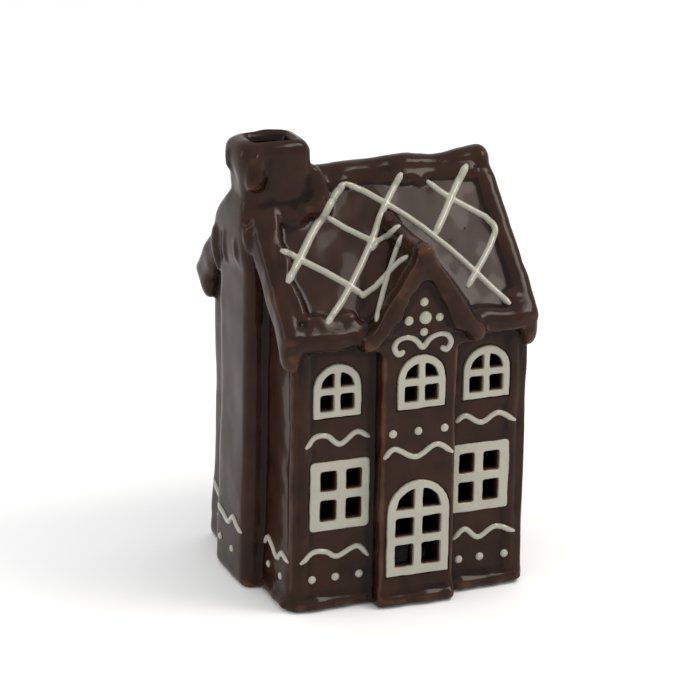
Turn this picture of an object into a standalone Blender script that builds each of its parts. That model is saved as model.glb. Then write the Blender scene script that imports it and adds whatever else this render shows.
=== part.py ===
"""Glazed ceramic gingerbread house, a hollow tealight lantern made in one piece.

Units are metres, +Z is up. The house is modelled about the middle of its walls' footprint, and is
then moved so that the origin is under the middle of the box that it fills, on the flat base.
The front, with the door, faces -Y. The chimney stands on the left side, at -X.
"""

from math import atan, ceil, cos, pi, radians, sin, sqrt, tan

import bmesh
import bpy
from mathutils import Vector

MM = 0.001

# Driving dimensions. Heights are measured from a line just above the base.
BASE = -3.2 * MM
WALL_LEFT, WALL_RIGHT = -46.8 * MM, 45.8 * MM
FRONT, BACK = -43.5 * MM, 44.5 * MM
WALL_TOP = 104 * MM
WALL_THICKNESS = 4.2 * MM
# Radius of each wall corner: back right, back left, front left, front right
WALL_CORNERS = (2.5 * MM, 2 * MM, 4.6 * MM, 2.8 * MM)
FLOOR_TOP = BASE + 4 * MM
FOOT = 0.8 * MM  # how far the walls are drawn in where they meet the table
FOOT_TOP = BASE + 1.2 * MM
BASE_FLARE = 2.6 * MM
# How far the side walls stand out at each height, as a share of the flare
FLARE_LEVELS = (
    (BASE, 0.75),
    (FOOT_TOP, 1.15),
    (9 * MM, 1.1),
    (24 * MM, 0.6),
    (60 * MM, 0.35),
    (WALL_TOP, 0.3),
)

ROOF_PITCH = atan(1.056)
ROOF_APEX = 158.8 * MM
ROOF_THICKNESS = 6.5 * MM
ROOF_LEFT, ROOF_RIGHT = -49.5 * MM, 47 * MM
RIM_RADIUS = 5 * MM
EAVE_HEIGHT = 106.6 * MM
EAVE_OVERHANG = 2.6 * MM
VERGE_WIDTH, VERGE_DEPTH = 8.2 * MM, 13 * MM

BAY_CENTRE = 0.3 * MM
BAY_WIDTH = 30.6 * MM
BAY_DEPTH = 7.15 * MM
DORMER_PITCH = atan(1.56)
DORMER_APEX = 140 * MM
DORMER_HALF = 21.5 * MM
DORMER_VERGE = 5.6 * MM

BREAST_OUTER = -56 * MM
STACK_RIGHT = -29.3 * MM
STACK_TOP = 173.5 * MM
FLUE_CENTRE = (-42.4 * MM, -2.3 * MM)
FLUE_SIZE = (16.5 * MM, 12.5 * MM)

ARCH_WINDOW = (19.2 * MM, 21 * MM)
SIDE_WINDOW = (24.25 * MM, 27.8 * MM)
DOOR = (25.4 * MM, 38.2 * MM)
FRAME_PROUD = 0.7 * MM
ICING_RADIUS = 0.8 * MM
LATTICE_RADIUS = 1.0 * MM
FLOOR_HOLE = 50 * MM

BAY_FACE = FRONT - BAY_DEPTH
TIP = 0.3  # how narrow a rounded end is at its last ring


def new_object(name, bm):
    """A mesh object made from a bmesh, with its faces pointing out."""
    bmesh.ops.remove_doubles(bm, verts=bm.verts, dist=0.00001)
    bmesh.ops.recalc_face_normals(bm, faces=bm.faces)
    mesh = bpy.data.meshes.new(name)
    bm.to_mesh(mesh)
    bm.free()
    obj = bpy.data.objects.new(name, mesh)
    bpy.context.scene.collection.objects.link(obj)
    return obj


def loft(name, rings):
    """A closed body whose skin runs from ring to ring, with a flat face on both ends."""
    bm = bmesh.new()
    loops = [[bm.verts.new(point) for point in ring] for ring in rings]
    count = len(loops[0])
    for low, high in zip(loops, loops[1:]):
        for i in range(count):
            j = (i + 1) % count
            bm.faces.new((low[i], low[j], high[j], high[i]))
    bm.faces.new(loops[0])
    bm.faces.new(loops[-1])
    return new_object(name, bm)


def prism(name, outline, across, low, high):
    """An outline extruded along X or Y: its points are (y, z) for X and (x, z) for Y."""
    if across == "X":
        rings = [[(at, a, b) for a, b in outline] for at in (low, high)]
    else:
        rings = [[(a, at, b) for a, b in outline] for at in (low, high)]
    return loft(name, rings)


def rounded_rectangle(left, right, front, back, z, radius, steps=4):
    """Points round a level rectangle, with one radius for its corners or one for each."""
    radii = radius if isinstance(radius, tuple) else (radius,) * 4
    corners = ((right, back, -1, -1), (left, back, 1, -1), (left, front, 1, 1), (right, front, -1, 1))
    ring = []
    for quarter, (x, y, across, along_y) in enumerate(corners):
        r = radii[quarter]
        for i in range(steps + 1):
            turn = (quarter + i / steps) * pi / 2
            ring.append((x + across * r + r * cos(turn), y + along_y * r + r * sin(turn), z))
    return ring


def ripple(t, phase, depth=1.0):
    """The unevenness of thick glaze along an edge, the same on each run."""
    waves = sin(9.1 * t + phase) + 0.7 * sin(17.3 * t + 2.1 * phase) + 0.4 * sin(31.7 * t + phase)
    return depth * waves / 2.1


def sweep(name, path, axes, sides=8, wave=0.0, phase=0.0):
    """A fat strand along a path, with round ends. axes(point) gives its two half-width vectors."""
    rings = []
    last = len(path) - 1
    for i, point in enumerate(path):
        first, second = axes(point)
        edge = min(i, last - i)
        size = (TIP, 0.8)[edge] if edge < 2 else 1.0
        size *= 1 + ripple(i / last, phase, wave)
        turns = [2 * pi * k / sides for k in range(sides)]
        rings.append([Vector(point) + size * (cos(a) * first + sin(a) * second) for a in turns])
    return loft(name, rings)


def chevron(foot, peak, far_foot, count, cap):
    """Points up one slope and down the other, with closer ones at both feet."""
    rise = along(foot, peak, count, cap)[:-2]
    fall = along(peak, far_foot, count, cap)[2:]
    return rise[:-1] + [Vector(peak)] + fall[1:]


def along(start, end, count, cap=0.0):
    """Points from start to end. With a cap, the last two at each end are close, for a round end."""
    start, end = Vector(start), Vector(end)
    length = (end - start).length
    inner = [(cap + (length - 2 * cap) * i / (count - 1)) / length for i in range(count)]
    ends = [0.0, 0.35 * cap / length] if cap else []
    stations = ends + inner + [1 - s for s in reversed(ends)]
    return [start.lerp(end, s) for s in stations]


def strand(name, points, radius, normal, sides=6):
    """A piped line of icing: a round tube that keeps to the surface that it lies on."""
    normal = Vector(normal).normalized()
    points = [Vector(p) for p in points]
    rings = []
    last = len(points) - 1
    for i, point in enumerate(points):
        ahead = (points[min(i + 1, last)] - points[max(i - 1, 0)]).normalized()
        side = ahead.cross(normal)
        size = radius * (0.55 if i in (0, last) else 1.0)
        turns = [2 * pi * (k + 0.5) / sides for k in range(sides)]
        rings.append([point + size * (cos(a) * side + sin(a) * normal) for a in turns])
    return loft(name, rings)


def smooth_path(points, steps=3):
    """A smooth curve through the points, by the Catmull-Rom rule."""
    points = [Vector(p) for p in points]
    ends = [2 * points[0] - points[1]] + points + [2 * points[-1] - points[-2]]
    path = []
    for a, b, c, d in zip(ends, ends[1:], ends[2:], ends[3:]):
        for i in range(steps):
            t = i / steps
            path.append(
                0.5 * (2 * b + (c - a) * t + (2 * a - 5 * b + 4 * c - d) * t**2)
                + 0.5 * (3 * b - a - 3 * c + d) * t**3
            )
    return path + [points[-1]]


def blob(name, centre, radii, segments=10, rings=7):
    """A drop of thick glaze, as a stretched sphere."""
    bm = bmesh.new()
    bmesh.ops.create_uvsphere(bm, u_segments=segments, v_segments=rings, radius=1)
    bmesh.ops.scale(bm, vec=Vector(radii) * MM, verts=bm.verts)
    bmesh.ops.translate(bm, vec=Vector(centre) * MM, verts=bm.verts)
    return new_object(name, bm)


def paint(objects, material):
    for obj in objects:
        obj.data.materials.clear()
        obj.data.materials.append(material)
    return objects


def combine(target, others, operation):
    """Joins the others to the target, or cuts them from it, in one applied Boolean."""
    group = bpy.data.collections.new("operands")
    bpy.context.scene.collection.children.link(group)
    for other in others:
        bpy.context.scene.collection.objects.unlink(other)
        group.objects.link(other)
        other.hide_render = True
        other.display_type = "WIRE"
    modifier = target.modifiers.new(operation.lower(), "BOOLEAN")
    modifier.operation = operation
    modifier.operand_type = "COLLECTION"
    modifier.collection = group
    modifier.solver = "EXACT"
    modifier.material_mode = "TRANSFER"
    bpy.context.view_layer.update()
    graph = bpy.context.evaluated_depsgraph_get()
    result = bpy.data.meshes.new_from_object(target.evaluated_get(graph))
    target.modifiers.clear()
    target.data = result
    for other in others:
        bpy.data.objects.remove(other)
    bpy.data.collections.remove(group)


def glaze(name, color, roughness):
    material = bpy.data.materials.new(name)
    material.use_nodes = True
    shader = material.node_tree.nodes["Principled BSDF"]
    shader.inputs["Base Color"].default_value = (*color, 1)
    shader.inputs["Roughness"].default_value = roughness
    shader.inputs["Metallic"].default_value = 0
    shader.inputs["Coat Weight"].default_value = 1
    return material


def roof_height(y, drop=0.0):
    """Height of the roof panels above a depth y, or of a plane that far below them."""
    return ROOF_APEX - abs(y) * tan(ROOF_PITCH) - drop / cos(ROOF_PITCH)


def on_roof(x, climb, side=-1, lift=0.0):
    """A point on a roof panel: climb is the way up its slope from the wall's face, in millimetres."""
    y = side * (-FRONT - climb * cos(ROOF_PITCH) * MM)
    return Vector((x * MM, y, roof_height(y) + lift))


def dormer_height(x):
    """Height of the dormer's slopes above a place x."""
    return DORMER_APEX - abs(x - BAY_CENTRE) * tan(DORMER_PITCH)


def flare(z):
    """How far the side walls stand out at a height, beyond their width under the roof."""
    for (low, a), (high, b) in zip(FLARE_LEVELS, FLARE_LEVELS[1:]):
        if z <= high:
            return BASE_FLARE * (a + (b - a) * (z - low) / (high - low))
    return 0


def walls():
    """Four walls, flaring at the sides to the base, with the gables that the roof sits on."""
    rings = []
    for z, _ in FLARE_LEVELS:
        inset = FOOT if z == BASE else 0
        ring = (WALL_LEFT - flare(z), WALL_RIGHT + flare(z), FRONT + inset, BACK - inset, z)
        rings.append(rounded_rectangle(*ring, WALL_CORNERS))
    shell = loft("ceramic_house", rings)
    shoulder = -FRONT - 1 * MM
    low = WALL_TOP - 6 * MM
    outline = (
        (-shoulder, low),
        (shoulder, low),
        (shoulder, roof_height(shoulder, 3 * MM)),
        (0, roof_height(0, 3 * MM)),
        (-shoulder, roof_height(shoulder, 3 * MM)),
    )
    gable = prism("gable", outline, "X", WALL_LEFT + 0.3 * MM, WALL_RIGHT - 0.3 * MM)
    return shell, [gable]


def roof_panels():
    """The two sloping panels as one folded slab."""
    eave = -FRONT + EAVE_OVERHANG - 1 * MM
    outline = (
        (-eave, roof_height(eave)),
        (-eave, roof_height(eave, ROOF_THICKNESS)),
        (0, roof_height(0, ROOF_THICKNESS)),
        (eave, roof_height(eave, ROOF_THICKNESS)),
        (eave, roof_height(eave)),
        (0, roof_height(0)),
    )
    return [prism("roof_panels", outline, "X", ROOF_LEFT, ROOF_RIGHT)]


def roof_rims():
    """The thick rolled rim along the eaves, the ridge and the four gable edges."""
    pieces = []
    around = Vector((0, RIM_RADIUS, 0)), Vector((0, 0, RIM_RADIUS))
    for side in (-1, 1):
        y = side * (-FRONT + 2.3 * MM)
        path = along((-51 * MM, y, EAVE_HEIGHT), (48.5 * MM, y, EAVE_HEIGHT), 16, 4 * MM)
        pieces.append(sweep(f"eave_{side}", path, lambda p: around, 10, 0.08, 1.3 + side))
    top = ROOF_APEX - 3 * MM
    path = along((-48 * MM, 0, top), (47 * MM, 0, top), 14, 3 * MM)
    pieces.append(sweep("ridge", path, lambda p: around, 10, 0.06, 0.4))
    sink = 4.4 * MM
    foot_y = -FRONT + 2.4 * MM
    foot_z = roof_height(foot_y, sink)

    def verge_axes(point):
        side = 0 if abs(point.y) < 1 * MM else point.y / abs(point.y)
        deep = VERGE_DEPTH / 2 * (1 if side else 1.2)
        tilt = Vector((0, side * sin(ROOF_PITCH), cos(ROOF_PITCH) if side else 1))
        return Vector((VERGE_WIDTH / 2, 0, 0)), tilt * deep

    for name, x in (("left", -50.2 * MM), ("right", 46.2 * MM)):
        feet = Vector((x, -foot_y, foot_z)), Vector((x, foot_y, foot_z))
        peak = (x - (1.2 * MM if x > 0 else 0), 0, roof_height(0, sink))
        path = chevron(feet[0], peak, feet[1], 9, 3 * MM)
        pieces.append(sweep(f"verge_{name}", path, verge_axes, 12, 0.07, 1.9 if x > 0 else 0.6))
    pieces.append(blob("ridge_tip", (43.6, -0.8, 156), (4.8, 6.2, 6.2)))
    return pieces


def corner_drips():
    """Glaze that has run down and gathered at the roof's four corners."""
    y = -FRONT / MM + 0.6
    drips = (
        ("drip_front_right", (46.6, -y, 101.2), (4.3, 6.2, 8.5)),
        ("drip_front_left", (-50, -y, 102.5), (4.4, 6.2, 8)),
        ("drip_rear_left", (-50, y - 1.2, 104.8), (4.1, 6.2, 8.6)),
        ("drip_rear_right", (46.6, y, 102), (4.3, 6.2, 8)),
    )
    return [blob(*drip) for drip in drips]


def bay():
    """The centre bay that carries the door, from the base to the small gable."""
    left, right = BAY_CENTRE - BAY_WIDTH / 2, BAY_CENTRE + BAY_WIDTH / 2
    rings = []
    for z, edge in ((BASE, FOOT), (FOOT_TOP, 0), (108 * MM, 0)):
        box = (left + edge, right - edge, BAY_FACE + edge, FRONT + 3 * MM, z, 1.3 * MM)
        rings.append(rounded_rectangle(*box, steps=3))
    body = loft("bay", rings)
    spring = 100 * MM
    top = DORMER_APEX - 3 * MM
    reach = (top - spring) / tan(DORMER_PITCH)
    outline = (
        (BAY_CENTRE - reach, spring),
        (BAY_CENTRE + reach, spring),
        (BAY_CENTRE, top),
    )
    gable = prism("bay_gable", outline, "Y", BAY_FACE + 0.05 * MM, FRONT + 3 * MM)
    return [body, gable]


def dormer():
    """The small roof over the bay: two slopes that run back into the main roof, and thick verges."""
    back = -(ROOF_APEX - DORMER_APEX) / tan(ROOF_PITCH) + 4 * MM
    foot = dormer_height(BAY_CENTRE + DORMER_HALF)
    outline = (
        (BAY_CENTRE - DORMER_HALF, foot),
        (BAY_CENTRE + DORMER_HALF, foot),
        (BAY_CENTRE, DORMER_APEX),
    )
    pieces = [prism("dormer_roof", outline, "Y", BAY_FACE - 1.5 * MM, back)]
    thickness = DORMER_VERGE / 2
    y = BAY_FACE - 1 * MM

    def verge_axes(point):
        offset = point.x - BAY_CENTRE
        side = 0 if abs(offset) < 0.5 * MM else offset / abs(offset)
        deep = thickness * (1 if side else 1.6)
        tilt = Vector((side * sin(DORMER_PITCH), 0, cos(DORMER_PITCH) if side else 1))
        return tilt * deep, Vector((0, 4.4 * MM, 0))

    sink = 1.9 * MM / cos(DORMER_PITCH)
    reach = DORMER_HALF + 0.4 * MM
    foot_z = dormer_height(BAY_CENTRE + reach) - sink
    feet = [Vector((BAY_CENTRE + side * reach, y, foot_z)) for side in (-1, 1)]
    path = chevron(feet[0], (BAY_CENTRE, y, DORMER_APEX - sink), feet[1], 8, 2.5 * MM)
    pieces.append(sweep("dormer_verge", path, verge_axes, 10, 0.08, 2.2))
    crest = DORMER_APEX - 1.7 * MM
    path = along((BAY_CENTRE, y, crest), (BAY_CENTRE, back, crest), 6)
    round_crest = Vector((3 * MM, 0, 0)), Vector((0, 0, 2.4 * MM))
    pieces.append(sweep("dormer_ridge", path, lambda p: round_crest, 8, 0.06, 0.9))
    for side in (-1, 1):
        x = (BAY_CENTRE + side * reach) / MM
        centre = (x - 0.6 * side, BAY_FACE / MM - 0.6, 104.6)
        pieces.append(blob(f"dormer_foot_{side}", centre, (3.6, 4.6, 3.4)))
    return pieces


def valleys():
    """Thick glaze that fills the corners between the small roof and the main one."""
    pieces = []
    sink, depth_below = 0.5 * MM, 6.5 * MM
    for side in (-1, 1):
        rings = []
        for depth, reach, crest in ((-1, 23.2, 13), (17, 12.5, 0.8), (26, 7.5, 0.8)):
            y = FRONT + depth * MM
            spans = (reach, (reach + crest) / 2, crest)
            outer, middle, inner = (BAY_CENTRE + side * span * MM for span in spans)
            roof, small_roof = roof_height(y) - sink, dormer_height(inner) - sink
            ring = ((outer, roof), (inner, small_roof), (middle, roof - depth_below))
            rings.append([(x, y, z) for x, z in ring])
        pieces.append(loft(f"valley_{side}", rings))
    return pieces


def chimney():
    """The breast on the left wall, its shoulder, and the square stack with a swollen lip."""
    inner = -40 * MM
    # Each level of the breast: height, how far out, front edge and back edge
    levels = (
        (BASE / MM, 0.2, -15.2, 17.6),
        (-2, 1.2, -16, 18.4),
        (20, 0.9, -15.7, 17.9),
        (60, 0, -15, 16.8),
        (122, 0, -14.8, 18),
        (128, 1.1, -14.8, 22.6),
        (134, 1.4, -14.2, 22.8),
        (139, 1.4, -13.6, 21),
        (143.5, 1.3, -13, 17.4),
        (148, 0.8, -12.5, 12.6),
        (153, -0.2, -12.5, 8),
    )
    rings = []
    for height, out, front, back in levels:
        box = (BREAST_OUTER - out * MM, inner, front * MM, back * MM, height * MM, 3.4 * MM)
        rings.append(rounded_rectangle(*box))
    breast = loft("chimney_breast", rings)
    top = STACK_TOP / MM
    # Each level of the stack: height, swelling to the left and to the other sides, corner radius
    levels = (
        (138, 0, 0, 3),
        (151, 0, 0, 3),
        (159, 0.9, 0.2, 3),
        (163.5, 1.9, 1, 3.4),
        (167, 2.3, 1.3, 3.6),
        (top - 2.8, 1.9, 0.8, 4),
        (top - 0.8, 0.4, -0.8, 4),
        (top, -1.8, -3, 3.2),
    )
    rings = []
    for height, left_swell, swell, radius in levels:
        left, right = BREAST_OUTER + (0.4 - left_swell) * MM, STACK_RIGHT + (swell - 0.6) * MM
        front, back = (-12 - swell) * MM, (7.6 + swell) * MM
        rings.append(rounded_rectangle(left, right, front, back, height * MM, radius * MM))
    stack = loft("chimney_stack", rings)
    drips = (
        ("stack_drip_corner", (-53.6, -10.4, 161), (3.2, 3.4, 8.5)),
        ("stack_drip_left", (-55.2, -3, 162), (2, 3.2, 6)),
        ("stack_drip_front", (-47.2, -12, 160.5), (3.6, 1.6, 4.5)),
        ("stack_drip_right", (-31, -9.5, 155), (4, 4.5, 7)),
        ("shoulder_drip_rear", (-56, 14, 127), (1.6, 5.2, 9)),
        ("shoulder_drip_mid", (-56, 4, 122), (1.5, 3.6, 10)),
        ("shoulder_drip_front", (-55, -10.5, 136), (2.4, 4.6, 8)),
        ("roof_drip_stack", (-39, -14, 146.5), (6.5, 5.5, 3.6)),
    )
    return [breast, stack] + [blob(*drip) for drip in drips]


def arched_outline(centre, base, width, height, steps=12):
    """Outline of an opening with a half-round top."""
    radius = width / 2
    spring = base + height - radius
    arc = [pi * i / steps for i in range(steps + 1)]
    points = [(centre + radius * cos(a), spring + radius * sin(a)) for a in arc]
    return [(centre - radius, base), (centre + radius, base)] + points


def soft_outline(centre, base, width, height, radius=1.6 * MM, steps=3):
    """Outline of an upright rectangle with soft corners."""
    ring = rounded_rectangle(
        centre - width / 2, centre + width / 2, base, base + height, 0, radius, steps
    )
    return [(x, z) for x, z, _ in ring]


# Openings of the front: each window's centre and base, its columns from the centre, and its rows
# from the base, in millimetres. The last row of an arched one ends in a curve that wide and high.
ARCH_COLUMNS = ((-6.7, -1.55), (1.55, 6.7))
ARCH_ROWS = ((2.8, 8.8),)
ARCH_CURVE = (12.1, 6.7, 5.4)
DOOR_COLUMNS = ((-9.2, -1.9), (1.9, 9.2))
DOOR_ROWS = ((3.7, 12.3), (16.0, 23.2))
DOOR_CURVE = (27, 9.2, 7.9)
SIDE_COLUMNS = ((-8.7, -2.8), (1.5, 7.7))
SIDE_ROWS = ((4.0, 12.0), (16.1, 23.7))


def curved_panes(centre, base, columns, curve, steps=5):
    """The two upper panes of an arched window, bounded by a quarter of an ellipse each."""
    foot, wide, high = (value * MM for value in curve)
    foot += base
    panes = []
    for inner, outer in ((columns[0][1], columns[0][0]), (columns[1][0], columns[1][1])):
        side = 1 if outer > 0 else -1
        start, end = abs(inner) * MM, abs(outer) * MM
        points = [(centre + side * start, foot)]
        for i in range(steps + 1):
            x = end + (start - end) * i / steps
            z = foot + high * sqrt(max(0.0, 1 - (x / wide) ** 2))
            points.append((centre + side * x, z))
        panes.append(points)
    return panes


def pane_cutters(name, centre, base, columns, rows, curve, face):
    """Cutters for one window's panes, each running from before the face right through the wall."""
    shapes = []
    for left, right in columns:
        for low, high in rows:
            width, height = (right - left) * MM, (high - low) * MM
            middle = centre + (left + right) / 2 * MM
            shapes.append(soft_outline(middle, base + low * MM, width, height, 0.7 * MM, 2))
    if curve:
        shapes += curved_panes(centre, base, columns, curve)
    near, far = face - 4 * MM, face + 12 * MM + BAY_DEPTH
    return [prism(f"{name}_pane_{i}", s, "Y", near, far) for i, s in enumerate(shapes)]


def windows():
    """White frames, the shallow grooves round the arched ones, and the panes to cut."""
    frames, grooves, panes = [], [], []
    arches = (
        ("window_upper_left", -30.5 * MM, 74.1 * MM, ARCH_WINDOW, FRONT),
        ("window_upper_right", 30.5 * MM, 74.6 * MM, ARCH_WINDOW, FRONT),
        ("window_bay", 0.6 * MM, 76.6 * MM, ARCH_WINDOW, BAY_FACE),
        ("door", 0.5 * MM, 9.2 * MM, DOOR, BAY_FACE),
    )
    for name, centre, base, (width, height), face in arches:
        margin = 0.7 * MM
        outline = arched_outline(centre, base, width, height)
        wide = arched_outline(centre, base - margin, width + 2 * margin, height + 2 * margin)
        frames.append(prism(name, outline, "Y", face - FRAME_PROUD, face + 2 * MM))
        grooves.append(prism(f"{name}_groove", wide, "Y", face - 2 * MM, face + 0.7 * MM))
        is_door = name == "door"
        columns = DOOR_COLUMNS if is_door else ARCH_COLUMNS
        rows = DOOR_ROWS if is_door else ARCH_ROWS
        curve = DOOR_CURVE if is_door else ARCH_CURVE
        panes += pane_cutters(name, centre, base, columns, rows, curve, face)
    width, height = SIDE_WINDOW
    base = 28.8 * MM
    for name, side in (("window_lower_left", -1), ("window_lower_right", 1)):
        centre = side * 29 * MM
        outline = soft_outline(centre, base, width, height)
        frames.append(prism(name, outline, "Y", FRONT - FRAME_PROUD, FRONT + 2 * MM))
        columns = SIDE_COLUMNS if side > 0 else [(-b, -a) for a, b in reversed(SIDE_COLUMNS)]
        panes += pane_cutters(name, centre, base, columns, SIDE_ROWS, None, FRONT)
    return frames, grooves, panes


def wave(name, points, place):
    """A wavy line of icing through its crests and troughs. place turns (along, z) into a point."""
    normal = place(0, 1) - place(0, 0)
    path = smooth_path([place(a, z, 0) for a, z in points])
    return strand(name, path, ICING_RADIUS, normal)


def front_place(face):
    """Points on a wall that faces the front, from millimetres across and up."""

    def place(x, z, out=None):
        if out is None:
            return Vector((0, -z, 0))
        return Vector((x * MM, face - out * MM, z * MM))

    return place


def bead(name, place, across, up, radius):
    """A round dot of icing, lower than it is wide."""
    normal = place(0, 1) - place(0, 0)
    radii = [radius * (0.75 if abs(part) > 0.5 else 1) for part in normal]
    return blob(name, place(across, up, -0.13) / MM, radii, 8, 5)


def side_place(x_of, side):
    """Points on a side wall, from millimetres back from the front wall and up."""

    def place(y, z, out=None):
        if out is None:
            return Vector((side * z, 0, 0))
        return Vector((side * (x_of(z) + out) * MM, FRONT + y * MM, z * MM))

    return place


def left_x(z):
    """How far left the left wall's face is at a height, in millimetres."""
    return (flare(z * MM) - WALL_LEFT) / MM


def right_x(z):
    """How far right the right wall's face is at a height, in millimetres."""
    return (flare(z * MM) + WALL_RIGHT) / MM


def breast_x(z):
    """How far left the chimney breast's face is at a height, in millimetres."""
    return -BREAST_OUTER / MM + (0.9 if z < 20 else 0.9 * (60 - z) / 40 if z < 60 else 0)


def icing_lines():
    """The wavy lines on the walls, between the storeys and above the base."""
    front, bay_front = front_place(FRONT), front_place(BAY_FACE)
    upper = ((-43.2, 63.2), (-36.6, 66.6), (-29.2, 63.8), (-21.5, 67.2), (-16.6, 64.6))
    lower = ((-45.2, 16.4), (-37.8, 21), (-30.9, 17), (-22.4, 21.2), (-16.4, 16.2))
    across_bay = ((-13.9, 57.9), (-8.2, 61), (-0.6, 57.2), (8.4, 60.9), (14.2, 57))
    pieces = [
        wave("wave_upper_left", upper, front),
        wave("wave_upper_right", [(-x, z + 0.8) for x, z in upper], front),
        wave("wave_lower_left", lower, front),
        wave("wave_lower_right", [(-x, z + 0.4) for x, z in lower], front),
        wave("wave_bay", across_bay, bay_front),
    ]
    left_wall, right_wall = side_place(left_x, -1), side_place(right_x, 1)
    breast = side_place(breast_x, -1)
    short = ((3.2, 18), (6.2, 21), (10.4, 17), (20.6, 21.2), (26.6, 17))
    pieces.append(wave("wave_side_front", short, left_wall))
    on_breast = ((32.5, 17), (43.4, 21), (48.2, 17), (56.6, 21.2))
    pieces.append(wave("wave_breast", on_breast, breast))
    rear = ((63.5, 17), (68.5, 21), (75, 17), (84, 20.6))
    pieces.append(wave("wave_side_rear", rear, left_wall))
    long = [(6 + 9.4 * i, 21 if i % 2 else 17) for i in range(9)]
    pieces.append(wave("wave_right_side", long, right_wall))
    back = front_place(BACK)
    for side in (-1, 1):
        points = [(side * x, z) for x, z in ((43.5, 17), (36.5, 21), (29.5, 17.4))]
        pieces.append(wave(f"wave_back_{side}", points, back))
    return pieces


def scrolls():
    """Two curls of icing that meet under the gable, as a moustache."""
    place = front_place(BAY_FACE)
    pieces = []
    for side in (-1, 1):
        stem = ((0.2, 99.6), (2.4, 101.4), (4.8, 104), (7.6, 105), (10.6, 103.8), (11.7, 101.2))
        hook = ((10.6, 98.7), (8.4, 98.5), (7.7, 100))
        points = [(0.5 + side * x, z) for x, z in stem + hook]
        pieces.append(wave(f"scroll_{side}", points, place))
    return pieces


def beads():
    """Dots of icing: above the base, on the bay and in the gable."""
    front, bay_front = front_place(FRONT), front_place(BAY_FACE)
    spots = [(front, x, 9.2, 1.45) for x in (-39.7, -30.1, -20.4, 21.1, 30, 40.4)]
    spots += [(bay_front, x, 67.2, 1.4) for x in (-10.4, 0.1, 10.7)]
    gable = ((0.3, 118.8, 1.7), (0.9, 112.6, 2.5), (-5.8, 112, 1.8), (6.6, 112.3, 1.6))
    gable += ((0.5, 107, 1.6),)
    spots += [(bay_front, x, z, r) for x, z, r in gable]
    left_wall, right_wall = side_place(left_x, -1), side_place(right_x, 1)
    breast, back = side_place(breast_x, -1), front_place(BACK)
    spots += [(left_wall, y, 9.2, 1.4) for y in (7.8, 20.6, 75)]
    spots += [(breast, y, 9.2, 1.4) for y in (40, 53.8)]
    spots += [(right_wall, 6 + 18.8 * i, 9.2, 1.4) for i in range(5)]
    spots += [(back, side * 36.5, 9.2, 1.4) for side in (-1, 1)]
    return [bead(f"bead_{i}", *spot) for i, spot in enumerate(spots)]


# The lattice on the front slope, in millimetres: (x, way up the slope from the wall's face)
LATTICE = (
    ((-12, 55), (-24.3, 43.1), (-39.1, 25.7), (-46.2, 16.2)),
    ((-12, 55), (0.6, 44.6), (16, 29.2), (28.4, 13.2), (38.4, -2)),
    ((-24.8, 41.1), (-9.3, 30.1)),
    ((-45.6, 30), (-39.3, 24.9), (-23.3, 12.4), (-18.5, 7.8)),
    ((10.7, 55.5), (1, 45.1), (-8.5, 31.1), (-22.4, 12.1), (-34.2, -1.5)),
    ((37.5, 56), (27.8, 44.9), (16.9, 30.1)),
    ((19.7, 52.9), (28.2, 44.8), (41, 32.8), (41, 27.5), (29.3, 13.1), (24.6, 7)),
)
# The part of it on the small roof's left slope: (x, depth back from the front wall, height)
DORMER_LATTICE = (
    ((-18.2, 6, 119.7), (-8.4, 5.7, 126.95), (-3.2, -1.6, 134.9)),
    ((-17.3, -5.2, 112.6), (-8.4, 4.9, 126.6), (-2.9, 10.9, 135.4), (-0.5, 11.7, 139)),
    ((-9.4, 21.4, 135.75), (-3.5, 20.2, 138.3), (0.7, 17.2, 140.75)),
)


def lattice():
    """Crossed lines of icing on the roof."""
    normal = {side: Vector((0, side * sin(ROOF_PITCH), cos(ROOF_PITCH))) for side in (-1, 1)}
    pieces = []
    for i, line in enumerate(LATTICE):
        lift = 0.07 * i * MM
        points = [on_roof(x, climb + 0.9, -1, lift) for x, climb in line]
        pieces.append(strand(f"lattice_{i}", points, LATTICE_RADIUS, normal[-1]))
    low, high, edge, pitch = 5, 53, 41, 25
    for name, lean in (("up", 1), ("down", -1)):
        for i in range(ceil((2 * edge + high - low) / pitch)):
            start = lean * (-edge - (high - low) + 12 + i * pitch)
            first = max(low, low + lean * (-lean * edge - start))
            final = min(high, low + lean * (lean * edge - start))
            if final - first > 6:
                lift = (0.12 + 0.17 * lean + 0.02 * i) * MM
                ends = [(start + lean * (climb - low), climb) for climb in (first, final)]
                points = [on_roof(x, climb, 1, lift) for x, climb in ends]
                label = f"lattice_back_{name}_{i}"
                pieces.append(strand(label, points, LATTICE_RADIUS, normal[1]))
    slope = Vector((-sin(DORMER_PITCH), 0, cos(DORMER_PITCH)))
    for i, line in enumerate(DORMER_LATTICE):
        points = [(x * MM, FRONT + depth * MM, height * MM) for x, depth, height in line]
        pieces.append(strand(f"lattice_dormer_{i}", points, LATTICE_RADIUS, slope))
    return pieces


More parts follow.
